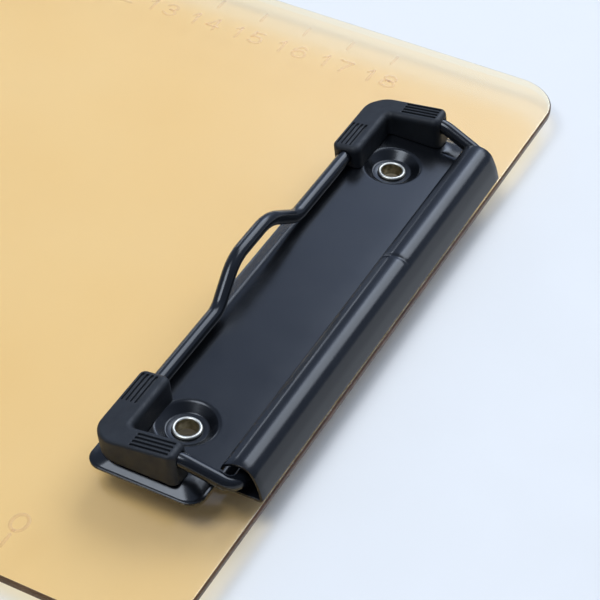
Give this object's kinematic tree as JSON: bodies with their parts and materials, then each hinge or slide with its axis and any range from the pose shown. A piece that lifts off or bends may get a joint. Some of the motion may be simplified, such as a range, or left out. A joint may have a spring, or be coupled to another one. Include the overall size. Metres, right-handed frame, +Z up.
{
  "type": "clipboard",
  "caption": "A5 see-through plastic clipboard with a low wire-bail clip: a sprung wire loop with rubber corner grips swings up from a riveted black plate.",
  "frame": {"origin": "middle of the board's underside, which is the bottom centre of the bounding box", "axes": "+Y along the board to the edge that carries the clip, +X across the board, +Z up out of the writing face"},
  "size_m": [0.16, 0.23, 0.0119],
  "materials": {
    "amber_plastic": "see-through amber, moulded, glossy with a faint grain",
    "black_painted_steel": "smooth glossy black paint on pressed sheet steel",
    "nickel_plate": "bright nickel plate, lightly scuffed",
    "black_painted_wire": "gloss black paint on spring wire",
    "black_rubber": "matte black moulded rubber"
  },
  "bodies": {
    "base": {"board": "amber_plastic", "clip_plate": "black_painted_steel", "eyelet_left": "nickel_plate", "eyelet_right": "nickel_plate"},
    "bail": {"bail_wire": "black_painted_wire", "corner_grip_left": "black_rubber", "corner_grip_right": "black_rubber"}
  },
  "joints": [
    {"name": "bail_hinge", "type": "hinge", "parent": "base", "child": "bail", "pos_m": [0, 0.1104, 0.0046], "axis": [-1, 0, 0], "range_deg": [0, 75], "stiffness_Nm_per_rad": 0.35, "springref_deg": -28.65}
  ]
}
